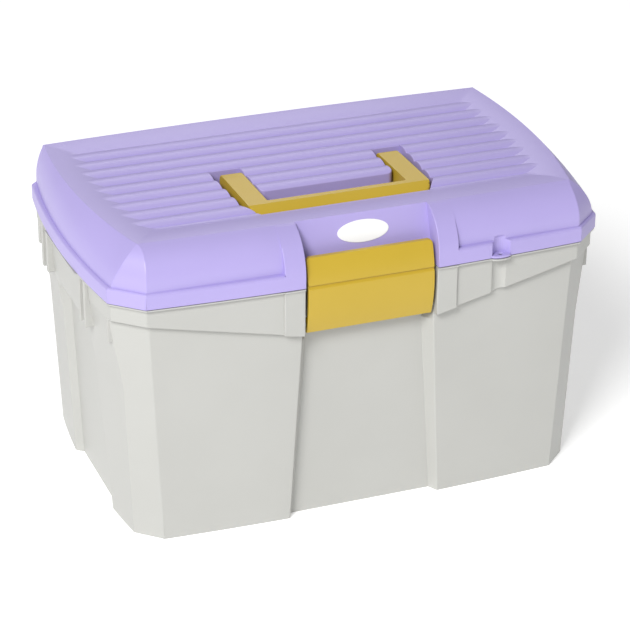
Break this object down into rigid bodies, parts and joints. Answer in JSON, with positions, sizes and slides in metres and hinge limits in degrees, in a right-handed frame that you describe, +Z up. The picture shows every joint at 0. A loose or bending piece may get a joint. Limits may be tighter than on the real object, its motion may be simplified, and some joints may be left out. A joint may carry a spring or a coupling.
{
  "type": "horse grooming box",
  "caption": "Moulded grooming box with a reeded domed lid on a rear hinge, a fold-down handle, a front latch, a padlock eye and a lift-out tray.",
  "frame": {"origin": "on the surface that the box stands on, under the middle of the tub", "axes": "+X to the right along the front, +Y to the rear where the hinge is, +Z up"},
  "size_m": [0.407, 0.2772, 0.2406],
  "materials": {
    "tub_plastic": "satin off-white polypropylene",
    "lid_plastic": "satin lilac polypropylene",
    "handle_plastic": "satin gold-coloured polypropylene",
    "pin_steel": "drawn steel rod",
    "label_film": "blank white vinyl"
  },
  "bodies": {
    "tub": {"body": "tub_plastic", "hinge_pins": "pin_steel", "latch_pin": "pin_steel"},
    "cover": {"lid": "lid_plastic", "handle_pins": "pin_steel", "label": "label_film"},
    "bail": {"handle": "handle_plastic"},
    "clasp": {"latch": "handle_plastic"},
    "insert": {"tray": "lid_plastic"}
  },
  "joints": [
    {"name": "lid_hinge", "type": "hinge", "parent": "tub", "child": "cover", "pos_m": [0, 0.1355, 0.198], "axis": [-1, 0, 0], "range_deg": [0, 110]},
    {"name": "handle_fold", "type": "hinge", "parent": "cover", "child": "bail", "pos_m": [0, -0.004, 0.231], "axis": [-1, 0, 0], "range_deg": [0, 90]},
    {"name": "latch_swing", "type": "hinge", "parent": "tub", "child": "clasp", "pos_m": [0, -0.1198, 0.165], "axis": [1, 0, 0], "range_deg": [0, 110]},
    {"name": "tray_lift", "type": "slide", "parent": "tub", "child": "insert", "axis": [0, 0, 1], "range_m": [0, 0.008]}
  ]
}
